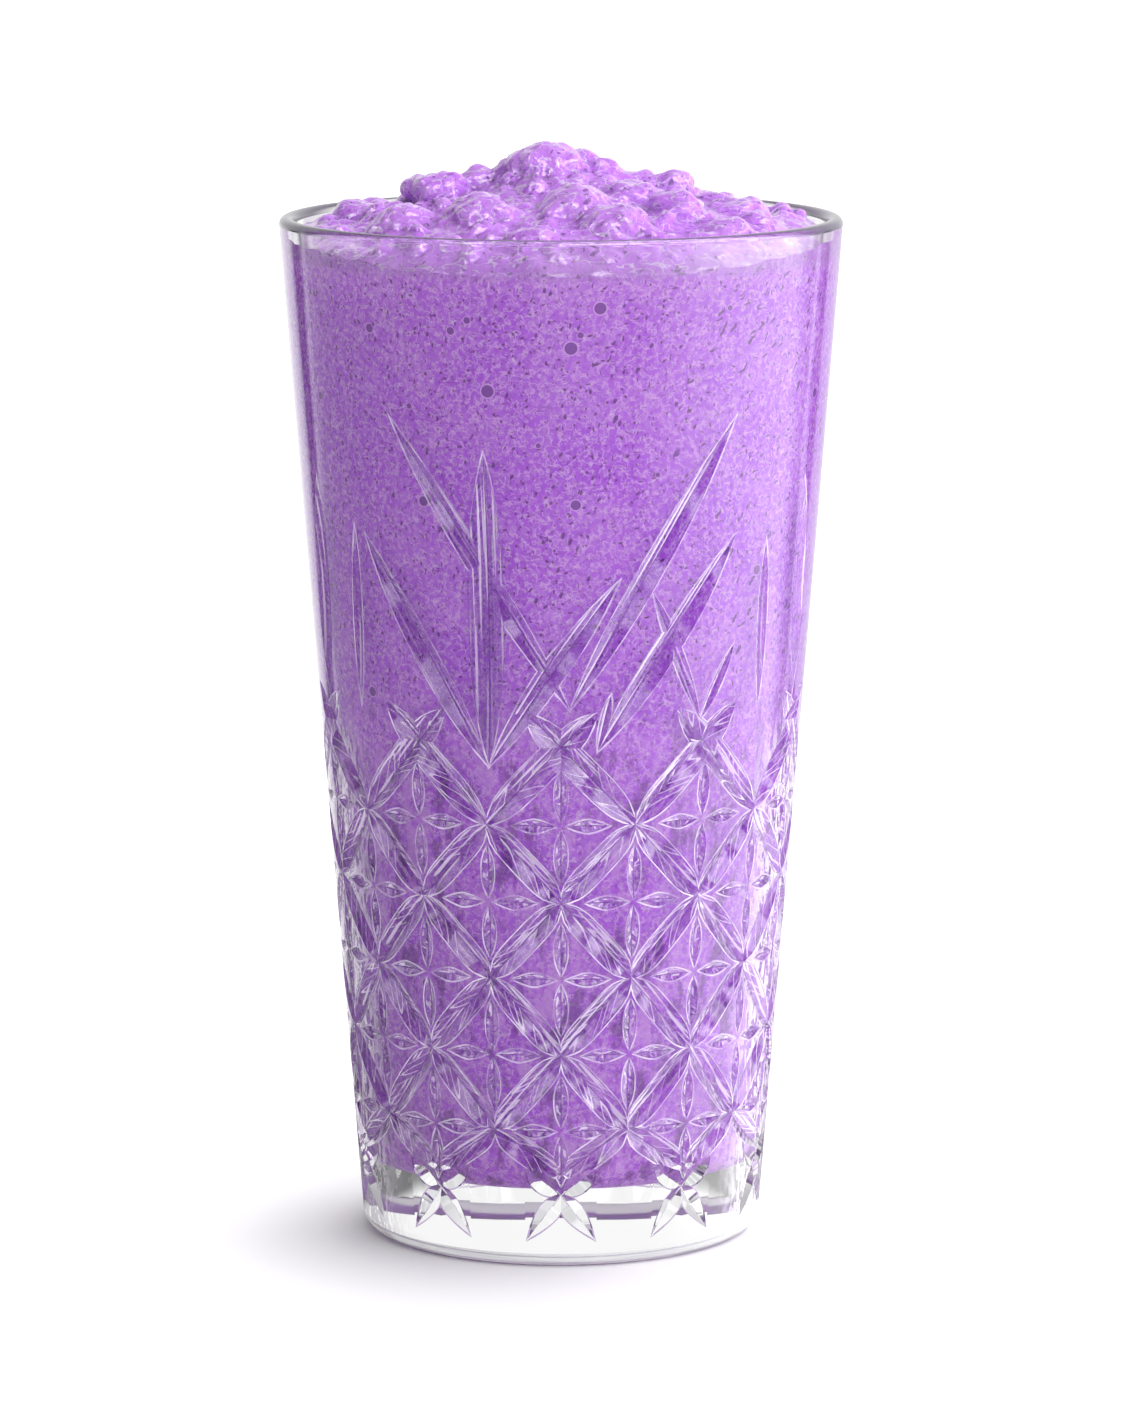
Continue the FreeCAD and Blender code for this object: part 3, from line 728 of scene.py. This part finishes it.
def cutter(size, name, cuts, stations, strips):
    """Join the solids of several cuts that don't touch each other into one tool."""
    points, faces, finishes, places = [], [], [], []
    ring = len(strips)
    for number, (start, end, depth, fullness) in enumerate(cuts):
        first = len(points)
        for step in range(stations + 1):
            share = -0.03 + 1.06 * step / stations
            for point, (along, across) in cut_section(size, start, end, share, depth, fullness):
                points.append(point)
                places.append((along + CUT_SPACING * number, across))
        for step in range(stations):
            low = first + ring * step
            for corner in range(ring):
                following = (corner + 1) % ring
                faces.append((low + corner, low + following, low + ring + following,
                              low + ring + corner))
                finishes.append(strips[corner])
        last = first + ring * stations
        faces.append(tuple(first + corner for corner in range(ring)))
        faces.append(tuple(last + corner for corner in reversed(range(ring))))
        finishes += [FLANK, FLANK]
    tool = mesh_object(name, points, [], faces)
    tool.data.polygons.foreach_set("material_index", finishes)
    layer = tool.data.uv_layers.new(name=CUT_MAP)
    for loop, place in zip(tool.data.loops, layer.uv):
        place.vector = places[loop.vertex_index]
    finish_mesh(tool, merge=False)
    return tool


def repeated(cuts, count, side=1.0):
    """The same cuts repeated evenly round the glass, mirrored where the side is -1."""
    step = FULL_TURN / count
    return [((start[0] * side + turn * step, start[1]), (end[0] * side + turn * step, end[1]),
             depth, fullness) for turn in range(count) for start, end, depth, fullness in cuts]


def lattice_rows(size):
    """Heights of the lattice's rows of crossings, from its crest down."""
    return [size.lattice_low + size.row_pitch * step for step in range(LATTICE_LEVELS, -1, -1)]


def lattice_groups(size):
    """Slanting cuts of one column's right-hand half, in two groups that don't touch."""
    half = FULL_TURN / size.columns / 2
    rows = lattice_rows(size)
    past = half * size.crest_overrun / size.row_pitch
    even = [((half, rows[1]), (-past, rows[0] + size.crest_overrun), size.crest_depth, BAR_CUT)]
    odd = [((half, rows[-1]), (0.0, size.star_height + size.star_rise - 1.0 * MM),
            size.lattice_depth, BAR_CUT)]
    for level in range(1, LATTICE_LEVELS):
        upper, lower = (half, 0.0) if level % 2 else (0.0, half)
        cut = ((upper, rows[level]), (lower, rows[level + 1]), size.lattice_depth, BAR_CUT)
        (odd if level % 2 else even).append(cut)
    return [even, odd]


def arm_groups(size):
    """Arms of the small stars: level ones to the right, and those up and down."""
    half = FULL_TURN / size.columns / 2
    across, up, down = [], [], []
    near, far = size.arm_start, size.arm_start + size.arm_length
    for level, height in enumerate(lattice_rows(size)[1:], start=1):
        centre, sign = (0.0, 1.0) if level % 2 else (half, -1.0)
        degrees = math.degrees(1.0 / outer_radius(size, height)) * sign
        across.append(((centre + near * degrees, height), (centre + far * degrees, height),
                       size.arm_depth, KITE_CUT))
        rise = far * size.arm_rise
        for group, way in ((up, 1.0), (down, -1.0)):
            group.append(((centre, height + way * near), (centre, height + way * rise),
                          size.arm_depth, LENS_CUT))
    return across, up, down


def foot_star_groups(size):
    """Right-hand arms of the star in the heavy foot: one down, one up."""
    centre, spread = size.star_height, size.star_spread
    back = -0.3
    down = ((back * spread, centre - back * size.star_drop), (spread, centre - size.star_drop),
            size.star_depth, KITE_CUT)
    up = ((0.02 * spread, centre), (spread, centre + size.star_rise), size.star_depth, LENS_CUT)
    return [[down], [up]]


def cut_groups(size):
    """All the cuts, as groups in which no two cuts touch."""
    across, up, down = arm_groups(size)
    paired = [(group, LATTICE_STRIPS) for group in lattice_groups(size)]
    paired.append((across, STAR_STRIPS))
    paired += [(group, FOOT_STRIPS) for group in foot_star_groups(size)]
    groups = [(repeated(group, size.columns, side), 12, strips)
              for group, strips in paired for side in (1.0, -1.0)]
    groups += [(repeated(group, size.columns), 10, STAR_STRIPS) for group in (up, down)]
    crest = lattice_rows(size)[0]
    band = size.height - size.plain_band - crest
    flank = math.tan(math.radians(size.flank))
    for foot, low, tip, high, width in FAN_LEAVES.values():
        leaf = ((foot, crest + band * low), (tip, crest + band * high),
                0.5 * width * MM * flank, LENS_CUT)
        groups.append((repeated([leaf], FAN_COPIES), 30, LEAF_STRIPS))
    return groups


def turned_blank(size):
    """The plain tumbler: a cone, hollowed from above, with its edges rounded."""
    top = size.height
    glass = add_cone("cut_glass_tumbler", size.facets, (size.foot_radius, size.rim_radius),
                     (0.0, top))
    while glass.data.uv_layers:
        glass.data.uv_layers.remove(glass.data.uv_layers[0])
    glass.data.uv_layers.new(name=CUT_MAP)
    select_where(glass, "FACE", lambda ends: all(end.z > top - 0.1 * MM for end in ends))
    bpy.ops.mesh.inset(thickness=size.rim_wall)
    bpy.ops.mesh.extrude_region_move(TRANSFORM_OT_translate={"value": (0, 0, size.floor - top)})
    rim, bowl = size.rim_radius - size.rim_wall, inner_radius(size, size.floor)
    shrink = bowl / rim
    bpy.ops.transform.resize(value=(shrink, shrink, 1.0), center_override=(0, 0, size.floor))
    rounds = [(size.rim_radius, top, size.lip_round, 14), (rim, top, size.lip_round, 14),
              (size.foot_radius, 0.0, size.heel_round, 14), (bowl, size.floor, size.bowl_round, 16)]
    for radius, height, amount, steps in rounds:
        round_ring(glass, radius, height, amount, steps)
    finish_mesh(glass)
    for face in glass.data.polygons:
        if 0.01 * MM < face.center.z < 0.9 * size.heel_round:
            face.material_index = HEEL
        elif face.center.z > top - size.lip_round:
            face.material_index = LIP
    return glass


class MILKSHAKE_OT_tumbler(bpy.types.Operator):
    """Model the cut-glass tumbler"""
    bl_idname = "milkshake.tumbler"
    bl_label = "Cut-glass tumbler"

    def execute(self, context):
        size, colours = context.scene.tumbler_sizes, context.scene.finish_colours
        glass = turned_blank(size)
        for number, (cuts, stations, strips) in enumerate(cut_groups(size)):
            combine(glass, cutter(size, f"cuts_{number}", cuts, stations, strips), "DIFFERENCE")
        finishes = [clear_glass(colours, lattice_rows(size)[0]),
                    flank_glass(colours, "glass_flank_painted_light_and_shade", (0.3, 2.4, 0.12), 0.35, 0.05),
                    edge_glass(colours, "glass_edge_painted_highlight", 0.3, 0.7), keel_glass(colours),
                    facet_glass(colours),
                    flank_glass(colours, "glass_leaf_painted_light_and_shade", (0.0, 0.0, 0.04), 0.85, 0.15),
                    round_glass(colours, "glass_lip_painted_dark_reflection", colours.dark, 0.42, 0.9),
                    round_glass(colours, "clear_glass_heel", colours.heel_shade, -0.3, 0.6),
                    flank_glass(colours, "glass_star_painted_light_and_shade", (1.2, 0.8, 0.7), 0.35, 0.0),
                    edge_glass(colours, "glass_faint_edge_painted_highlight", 0.15, 0.5)]
        dress(glass, GLASS_CREASE, finishes, "tumbler")
        return {"FINISHED"}


# ---------------------------------------------------------------- drink

def fill_level(size, drink):
    """Height at which the drink meets the wall."""
    return size.height - drink.fill_gap


def mound_rise(share):
    """Rise of the plain mound, as a share of the heap's height, from middle to wall."""
    if share >= 1.0:
        return 0.0
    return 0.30 * math.exp(-(share / 0.26) ** 2) + 0.62 * (1.0 - share ** 2.2) ** 0.75


def plain_mound(size, drink):
    """Turn the mound under the lumps as a closed solid."""
    level = fill_level(size, drink)
    wall = inner_radius(size, level) + 0.5 * MM
    steps = 40
    profile = [(0.0, 0.0, level - MOUND_SKIRT)]
    for step in range(steps + 1):
        share = step / steps
        rise = drink.heap_height * mound_rise(share) - MOUND_SINK
        profile.append((wall * share, 0.0, level + rise))
    profile.append((wall, 0.0, level - MOUND_SKIRT))
    edges = [(point, point + 1) for point in range(1, len(profile) - 1)]
    mound = mesh_object("mound", profile, edges + [(len(profile) - 1, 0)], [])
    activate(mound)
    bpy.ops.object.mode_set(mode="EDIT")
    bpy.ops.mesh.select_all(action="SELECT")
    bpy.ops.mesh.spin(steps=96, angle=2 * math.pi, center=(0, 0, 0), axis=(0, 0, 1))
    bpy.ops.object.mode_set(mode="OBJECT")
    finish_mesh(mound)
    return mound


def add_ball(place, radius, stretch=(1.0, 1.0, 1.0)):
    """A ball, drawn out along its axes."""
    bpy.ops.mesh.primitive_ico_sphere_add(subdivisions=3, radius=radius, location=place,
                                          scale=stretch)
    return bpy.context.object


def heap_lumps(size, drink):
    """Balls for the large crests and the strewn nodules of the heap."""
    level = fill_level(size, drink)
    wall = inner_radius(size, level)
    deselect()
    balls = []
    for across, back, rise, radius in HEAP_CRESTS:
        place = (across * MM, back * MM, level + rise * MM)
        balls.append(add_ball(place, radius * MM, (1.15, 1.15, 0.85)))
    for index in range(drink.nodules):
        share = math.sqrt((index + 0.5) / drink.nodules) * 0.95
        turn = index * GOLDEN_TURN
        jitter = noise.noise(Vector((index * 1.7, 3.1, 0.0)))
        radius = (0.9 + 1.7 * abs(noise.noise(Vector((index * 0.83, 0.0, 7.7))))) * MM
        away = wall * share
        across, back = away * math.cos(turn + jitter), away * math.sin(turn + jitter)
        rise = drink.heap_height * mound_rise(share) - (1.3 - 1.0 * jitter) * MM
        balls.append(add_ball((across, back, level + rise), radius))
    return balls


def merge_and_soften(mound, balls, drink):
    """Fuse the mound with its lumps and soften the seams between them."""
    join([mound, *balls])
    apply_modifier(mound, "REMESH", mode="VOXEL", voxel_size=drink.grain)
    apply_modifier(mound, "SMOOTH", factor=0.5, iterations=5)


def ruffle(mound, wall, foot):
    """Push the heap's surface in and out by folds and wrinkles, and lift it at both sides."""
    mesh = mound.data
    normals = [vertex.normal.copy() for vertex in mesh.vertices]
    for vertex, normal in zip(mesh.vertices, normals):
        place = vertex.co / MM
        away = math.hypot(place.x, place.y) / (wall / MM)
        calm = 1.0 - 0.6 * min(away, 1.0) ** 10
        folds = noise.noise(Vector((place.x * 0.16, place.y * 0.16, place.z * 0.3)))
        lobes = abs(noise.noise(place * 0.36)) - 0.15
        curds = abs(noise.noise(place * 0.85 + Vector((5.0, 9.0, 2.0)))) - 0.15
        push = (0.75 * folds + 0.9 * lobes + 0.25 * curds) * calm
        vertex.co += normal * push * MM
        beside = abs(place.x) / max(math.hypot(place.x, place.y), 1.0)
        raised = min(max((vertex.co.z - foot) / (2.0 * MM), 0.0), 1.0)
        vertex.co.z += (0.5 + 3.1 * beside ** 3) * MM * raised * min(away, 1.0) ** 5


def wall_plug(size, drink, top):
    """Solid that fills the bowl up to a height and reaches just into the wall."""
    bowl = inner_radius(size, size.floor) + drink.wetting
    wide = inner_radius(size, top) + drink.wetting
    low = size.floor - drink.wetting
    plug = add_cone("plug", size.facets, (bowl, wide), (low, top))
    round_ring(plug, bowl, low, size.bowl_round, 14)
    finish_mesh(plug)
    return plug


def bubble_spots(drink):
    """Azimuth, height and radius of the bubbles that press against the wall."""
    spots = [(azimuth, height * MM, scale) for azimuth, height, scale in FRONT_BUBBLES]
    for index in range(STREWN_BUBBLES):
        azimuth = 48.0 + 4.05 * index
        height = 30.0 * MM + 108.0 * MM * (0.5 + 0.5 * math.sin(index * 2.399 + 0.4))
        spots.append((azimuth, height, 0.35 + 0.45 * abs(math.sin(index * 1.3))))
    return [(azimuth, height, drink.bubble_radius * scale) for azimuth, height, scale in spots]


def bubble_discs(size, drink, spread, depth, finish):
    """Short rods square to the wall, which press a shallow disc for every bubble."""
    deselect()
    rods = []
    rod_length, rise = 2.0 * MM, 10.0 * MM
    lean = math.atan2(inner_radius(size, size.floor + rise) - inner_radius(size, size.floor), rise)
    for azimuth, height, radius in bubble_spots(drink):
        turn = math.radians(azimuth)
        away = inner_radius(size, height) + drink.wetting - depth + rod_length / 2
        bpy.ops.mesh.primitive_cylinder_add(
            vertices=28, radius=radius * spread, depth=rod_length,
            location=(away * math.sin(turn), -away * math.cos(turn), height),
            rotation=(math.radians(90.0) + lean, 0.0, turn))
        rods.append(bpy.context.object)
    rod = join(rods)
    settle(rod)
    faces = rod.data.polygons
    faces.foreach_set("material_index", [finish] * len(faces))
    return rod


class MILKSHAKE_OT_drink(bpy.types.Operator):
    """Model the milkshake and its heap"""
    bl_idname = "milkshake.drink"
    bl_label = "Milkshake"

    def execute(self, context):
        scene = context.scene
        size, drink, colours = scene.tumbler_sizes, scene.drink_sizes, scene.finish_colours
        level = fill_level(size, drink)
        heap = plain_mound(size, drink)
        merge_and_soften(heap, heap_lumps(size, drink), drink)
        ruffle(heap, inner_radius(size, level), level - 5.0 * MM)
        combine(heap, wall_plug(size, drink, size.height + 25 * MM), "INTERSECT")
        shake = wall_plug(size, drink, level - 4.0 * MM)
        shake.name = "milkshake_drink"
        combine(shake, heap, "UNION")
        # a wider, shallower disc leaves a ring of painted highlight round each bubble
        combine(shake, bubble_discs(size, drink, 1.22, 0.03 * MM, BUBBLE_RING_HIGHLIGHT), "DIFFERENCE")
        # a shallow disc for each bubble, painted dark as the shade inside it
        combine(shake, bubble_discs(size, drink, 1.0, 0.06 * MM, BUBBLE_SHADE), "DIFFERENCE")
        finishes = [whipped_milk(colours, level), plain_milk("bubble_ring_painted_highlight", colours.froth_and_highlight),
                    plain_milk("bubble_shade", colours.bubble)]
        dress(shake, DRINK_CREASE, finishes, "milkshake")
        return {"FINISHED"}


# ---------------------------------------------------------------- stage

def direction_angles(graph, vector):
    """Azimuth and elevation of a direction or of a place seen from the origin, in degrees."""
    across, back, up = graph.parts(vector)
    degrees = 180.0 / math.pi
    azimuth = across.angle(back * -1.0) * degrees
    level = (across * across + back * back) ** 0.5
    return azimuth, up.angle(level) * degrees


def window(value, low, high, soft):
    """One between two limits, with soft edges, and nought outside them."""
    return value.ramp(low - soft, low + soft) * (1.0 - value.ramp(high - soft, high + soft))


def ray_kinds(graph):
    """Share of rays from the camera, and of those seen by it in the glass."""
    camera, mirrored_ray, refracted, bounces = (
        graph.read("ShaderNodeLightPath", output)
        for output in ("Is Camera Ray", "Is Glossy Ray", "Is Transmission Ray", "Diffuse Depth"))
    in_glass = mirrored_ray.at_least(refracted) * (1.0 - bounces.at_most(1.0))
    return camera, in_glass


def glass_surroundings(graph, azimuth, elevation):
    """What the glass shows: a white backdrop, dark flags and a room of narrow soft boxes."""
    turned = azimuth.size()
    behind = turned.ramp(88.0, 98.0)
    flags = window(turned, 100.0, 130.0, 3.0)
    backdrop = behind * (1.0 - elevation.ramp(28.0, 40.0) * 0.7) * (1.0 - flags * 0.85)
    boxes = graph.noise(graph.pair(azimuth * 0.14, elevation * 0.035), 1.0, 1.0).ramp(0.48, 0.58)
    height = elevation.ramp(0.0, 6.0) * (1.0 - elevation.ramp(56.0, 70.0))
    room = (1.0 - behind) * height * (0.12 + boxes * (3.2 + azimuth.ramp(-20.0, 60.0) * 2.6))
    overhead = window(azimuth, 5.0, 55.0, 4.0) * window(elevation, 46.0, 72.0, 3.0)
    overhead = overhead + window(azimuth, -75.0, -45.0, 4.0) * window(elevation, 50.0, 70.0, 3.0)
    return backdrop + room + overhead * 8.0 + 0.06


def world_light():
    """Soft light all round, stronger from the right and from above."""
    world = bpy.data.worlds.new("studio")
    bpy.context.scene.world = world
    graph = Graph(world)
    direction = graph.read("ShaderNodeTexCoord", "Generated")
    across = graph.parts(direction)[0]
    azimuth, elevation = direction_angles(graph, direction)
    light = 0.18 + across.ramp(-0.35, 0.43) * 2.34
    camera, in_glass = ray_kinds(graph)
    surroundings = glass_surroundings(graph, azimuth, elevation)
    level = light * (1.0 - in_glass) * (1.0 - camera) + surroundings * in_glass + camera
    background = graph.node("ShaderNodeBackground", {}, {"Color": (1.0, 1.0, 1.0),
                                                         "Strength": level})[0]
    graph.output(background, "ShaderNodeOutputWorld")


def floor_material(colours):
    """Matt white floor that keeps its shadows, painted lighter on the left and painted with shadow
    in front for the camera; in the glass it glows with painted reflections of bright strips and
    dark flags, and painted shade near and under the foot.
    """
    graph = new_material("floor_white_painted_shadow_and_glow")
    camera, in_glass = ray_kinds(graph)
    place = graph.object_point()
    azimuth = direction_angles(graph, place)[0]
    across, back = graph.parts(place)[:2]
    away = (across * across + back * back) ** 0.5
    turned = azimuth.size()
    under = 1.0 - away.ramp(28.0, 31.0)
    # painted reflections for the glass: sheen, bright strips, rim light, dark flags and a darker
    # left
    sheen = azimuth.ramp(24.0, 80.0) * (1.0 - azimuth.ramp(108.0, 124.0))
    strip = window(azimuth, 129.0, 138.0, 1.5) * 0.2 + window(turned, 128.0, 131.5, 0.7) * 0.5
    flags = window(turned, 133.0, 143.0, 2.0)
    left = window(azimuth, -120.0, -12.0, 10.0)
    # painted shadow of the tumbler on the floor just behind it
    near_foot_shadow = (1.0 - away.ramp(80.0, 120.0)) * (1.0 - turned.ramp(164.0, 175.0))
    rim_light = window(azimuth, -168.0, -146.0, 3.0)
    seen = 0.95 + sheen * 2.7 + strip + rim_light * 0.45 - flags * 0.85 - left * 0.25
    seen = seen * (1.0 - near_foot_shadow * turned.ramp(95.0, 110.0) * 0.84)
    # painted shade under the foot, darker towards its sides
    foot = 0.95 - across.size().ramp(13.0, 22.0) * 0.45
    # painted shadow in front of the tumbler
    front = (1.0 - away.ramp(30.0, 90.0)) * (1.0 - turned.ramp(60.0, 130.0))
    # painted light lifts the floor on the left for the camera
    glow = camera * (0.15 + across.ramp(-60.0, 0.0, 0.25, 0.0) - front * 0.22)
    glow = glow + in_glass * (seen * (1.0 - under) + foot * under)
    matt = graph.node("ShaderNodeBsdfDiffuse", {}, {"Color": colours.floor})[0]
    black = graph.node("ShaderNodeBsdfDiffuse", {}, {"Color": (0.0, 0.0, 0.0)})[0]
    lit = graph.blend(in_glass, matt, black)
    white = graph.node("ShaderNodeEmission", {}, {"Color": (1.0, 1.0, 1.0),
                                                  "Strength": glow})[0]
    return graph.output(graph.node("ShaderNodeAddShader", {}, (lit, white))[0])


class MILKSHAKE_OT_stage(bpy.types.Operator):
    """Set up the floor, the light and the camera"""
    bl_idname = "milkshake.stage"
    bl_label = "Stage"

    def execute(self, context):
        deselect()
        bpy.ops.mesh.primitive_plane_add(size=40.0, location=(0, 0, 0.05 * MM))
        floor = name_piece("floor")
        floor.data.materials.append(floor_material(context.scene.finish_colours))
        world_light()
        bpy.ops.object.camera_add(location=CAMERA_PLACE,
                                  rotation=(math.radians(90.0 - CAMERA_PITCH), 0, 0))
        camera = bpy.context.object
        camera.name = "camera"
        camera.data.lens = CAMERA_LENS
        camera.data.sensor_width = CAMERA_FRAME
        camera.data.clip_end = 100.0
        context.scene.camera = camera
        context.scene.view_settings.view_transform = "Standard"
        return {"FINISHED"}


class MILKSHAKE_PT_panel(bpy.types.Panel):
    """Sidebar list of the pieces"""
    bl_idname = "MILKSHAKE_PT_panel"
    bl_label = "Milkshake"
    bl_space_type = "VIEW_3D"
    bl_region_type = "UI"
    bl_category = "Milkshake"

    def draw(self, context):
        scene = context.scene
        for group in (scene.tumbler_sizes, scene.drink_sizes, scene.finish_colours):
            box = self.layout.box()
            for name in group.__annotations__:
                box.prop(group, name)
        for operator in OPERATORS:
            self.layout.operator(operator.bl_idname)


OPERATORS = (MILKSHAKE_OT_tumbler, MILKSHAKE_OT_drink, MILKSHAKE_OT_stage)
CLASSES = (TumblerSizes, DrinkSizes, FinishColours, *OPERATORS, MILKSHAKE_PT_panel)


def register():
    for cls in CLASSES:
        bpy.utils.register_class(cls)
    bpy.types.Scene.tumbler_sizes = PointerProperty(type=TumblerSizes)
    bpy.types.Scene.drink_sizes = PointerProperty(type=DrinkSizes)
    bpy.types.Scene.finish_colours = PointerProperty(type=FinishColours)


def unregister():
    del bpy.types.Scene.tumbler_sizes
    del bpy.types.Scene.drink_sizes
    del bpy.types.Scene.finish_colours
    for cls in reversed(CLASSES):
        bpy.utils.unregister_class(cls)


def main():
    register()
    bpy.ops.milkshake.tumbler()
    bpy.ops.milkshake.drink()
    bpy.ops.milkshake.stage()


if __name__ == "__main__":
    main()
